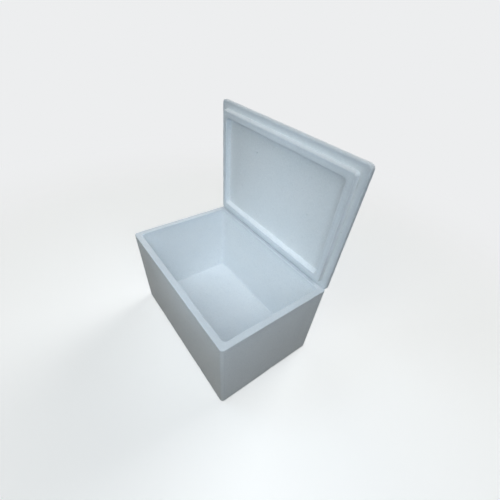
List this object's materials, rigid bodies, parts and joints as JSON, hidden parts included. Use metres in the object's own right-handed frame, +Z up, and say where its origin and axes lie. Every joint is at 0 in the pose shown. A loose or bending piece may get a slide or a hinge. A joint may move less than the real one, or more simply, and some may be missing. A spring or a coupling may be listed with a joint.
{
  "type": "polystyrene foam box",
  "caption": "Rectangular moulded foam box with thick walls, and a loose lid that stands open on the rear rim, its underside carrying a raised locating ring round a sunk panel.",
  "frame": {"origin": "centre of the box's base, on the surface that it stands on", "axes": "+X along the length, +Y from the front to the rear rim that carries the lid, +Z up"},
  "size_m": [0.45, 0.305, 0.5503],
  "materials": {
    "foam_box": "white expanded polystyrene, fused beads, satin",
    "foam_lid": "white expanded polystyrene, fused beads, satin"
  },
  "bodies": {
    "box": {"box_body": "foam_box"},
    "lid": {"lid": "foam_lid"}
  },
  "joints": [
    {"name": "lid_tip", "type": "hinge", "parent": "box", "child": "lid", "pos_m": [0, 0.1465, 0.2538], "axis": [1, 0, 0], "range_deg": [0, 90]}
  ]
}
